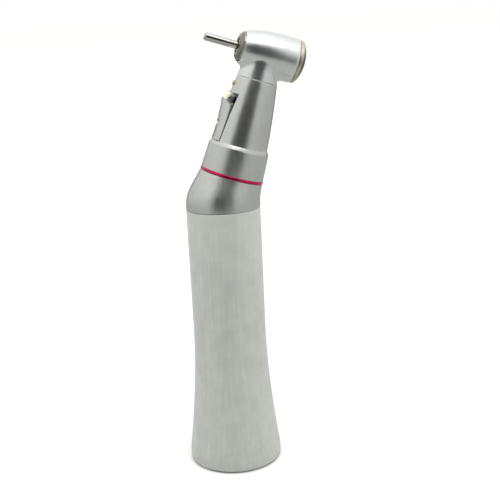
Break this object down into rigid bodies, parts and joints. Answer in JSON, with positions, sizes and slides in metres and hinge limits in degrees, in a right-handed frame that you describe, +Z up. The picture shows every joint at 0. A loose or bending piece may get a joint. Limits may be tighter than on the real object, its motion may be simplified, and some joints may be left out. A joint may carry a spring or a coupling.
{
  "type": "contra angle dental handpiece",
  "caption": "Slim angled dental handpiece with a push-button head, a round test pin, a crimson band, an LED and spray nozzle, and a sealed speed-increasing gear train.",
  "frame": {"origin": "centre of the rear face, where the motor couples, on the axis of the grip", "axes": "+Z up the grip towards the head, -X the side the bur points to, +X the push-button side, XZ the plane of symmetry"},
  "size_m": [0.0286, 0.02, 0.0921],
  "materials": {
    "satin_titanium": "satin, bead blasted",
    "carrier_alloy": "turned",
    "polished_steel": "polished",
    "bearing_steel": "ground",
    "gear_steel": "machined",
    "ring_enamel": "glossy crimson enamel",
    "champagne_ring": "champagne plating",
    "brass": "machined",
    "cage_polymer": "moulded",
    "led_ceramic": "white ceramic",
    "led_phosphor": "pale yellow phosphor under clear silicone",
    "seal_rubber": "matt black",
    "copper_winding": "enamelled copper",
    "magnet_nickel": "nickel plated"
  },
  "bodies": {
    "housing": {"grip_sleeve": "satin_titanium", "rear_ring": "polished_steel", "motor_socket": "bearing_steel", "elbow_housing": "satin_titanium", "colour_ring": "ring_enamel", "neck_collar": "satin_titanium", "neck_housing": "satin_titanium", "led_hood": "satin_titanium", "led_base": "led_ceramic", "led_phosphor": "led_phosphor", "led_wire": "copper_winding", "hood_screw": "bearing_steel", "spray_nozzle": "brass", "water_tube": "bearing_steel", "air_tube": "bearing_steel", "head_housing": "satin_titanium", "front_cap": "polished_steel", "rear_cap": "champagne_ring", "front_o_ring": "seal_rubber", "rear_o_ring": "seal_rubber", "bend_carrier": "carrier_alloy", "front_carrier": "carrier_alloy", "generator_stator": "copper_winding", "button_spring": "bearing_steel", "front_bearing_outer_race": "bearing_steel", "rear_bearing_outer_race": "bearing_steel", "mid_front_bearing_outer_race": "bearing_steel", "mid_rear_bearing_outer_race": "bearing_steel", "drive_front_bearing_outer_race": "bearing_steel", "drive_rear_bearing_outer_race": "bearing_steel"},
    "drive_line": {"drive_shaft": "gear_steel", "drive_gear": "gear_steel", "generator_magnet": "magnet_nickel", "dog_spring": "bearing_steel", "drive_front_bearing_inner_race": "bearing_steel", "drive_rear_bearing_inner_race": "bearing_steel"},
    "clutch_dog": {"drive_dog": "gear_steel"},
    "mid_line": {"mid_shaft": "gear_steel", "mid_pinion": "gear_steel", "crown_gear": "gear_steel", "mid_front_bearing_inner_race": "bearing_steel", "mid_rear_bearing_inner_race": "bearing_steel"},
    "spindle_line": {"spindle": "gear_steel", "spindle_pinion": "gear_steel", "collet": "brass", "front_bearing_inner_race": "bearing_steel", "rear_bearing_inner_race": "bearing_steel"},
    "bur": {"test_pin": "bearing_steel"},
    "button": {"push_button": "polished_steel"},
    "drive_cages": {"drive_front_bearing_cage": "cage_polymer", "drive_rear_bearing_cage": "cage_polymer"},
    "mid_cages": {"mid_front_bearing_cage": "cage_polymer", "mid_rear_bearing_cage": "cage_polymer"},
    "spindle_cages": {"front_bearing_cage": "cage_polymer", "rear_bearing_cage": "cage_polymer"}
  },
  "joints": [
    {"name": "drive_spin", "type": "hinge", "parent": "housing", "child": "drive_line", "pos_m": [0, 0, 0.04], "axis": [0, 0, 1], "continuous": true},
    {"name": "mid_spin", "type": "hinge", "parent": "housing", "child": "mid_line", "pos_m": [0, 0, 0.0563], "axis": [0.309, 0, 0.9511], "continuous": true},
    {"name": "spindle_spin", "type": "hinge", "parent": "housing", "child": "spindle_line", "pos_m": [0.01012, 0, 0.08745], "axis": [0.9511, 0, -0.309], "continuous": true},
    {"name": "drive_cage_spin", "type": "hinge", "parent": "housing", "child": "drive_cages", "pos_m": [0, 0, 0.04], "axis": [0, 0, 1], "continuous": true},
    {"name": "mid_cage_spin", "type": "hinge", "parent": "housing", "child": "mid_cages", "pos_m": [0, 0, 0.0563], "axis": [0.309, 0, 0.9511], "continuous": true},
    {"name": "spindle_cage_spin", "type": "hinge", "parent": "housing", "child": "spindle_cages", "pos_m": [0.01012, 0, 0.08745], "axis": [0.9511, 0, -0.309], "continuous": true},
    {"name": "dog_slide", "type": "slide", "parent": "drive_line", "child": "clutch_dog", "axis": [0, 0, 1], "range_m": [0, 0.0015], "stiffness_N_per_m": 400, "springref_m": -0.002, "deforming": ["dog_spring"]},
    {"name": "button_press", "type": "slide", "parent": "housing", "child": "button", "axis": [-0.9511, 0, 0.309], "range_m": [0, 0.0005], "stiffness_N_per_m": 1500, "springref_m": -0.002, "deforming": ["button_spring"]},
    {"name": "pin_release", "type": "slide", "parent": "spindle_line", "child": "bur", "axis": [-0.9511, 0, 0.309], "range_m": [0, 0.008]}
  ],
  "couplings": [
    {"joint": "mid_spin", "follows": "drive_spin", "ratio": 3.3333},
    {"joint": "spindle_spin", "follows": "drive_spin", "ratio": 5},
    {"joint": "drive_cage_spin", "follows": "drive_spin", "ratio": 0.4},
    {"joint": "mid_cage_spin", "follows": "drive_spin", "ratio": 1.3333},
    {"joint": "spindle_cage_spin", "follows": "drive_spin", "ratio": 2}
  ]
}
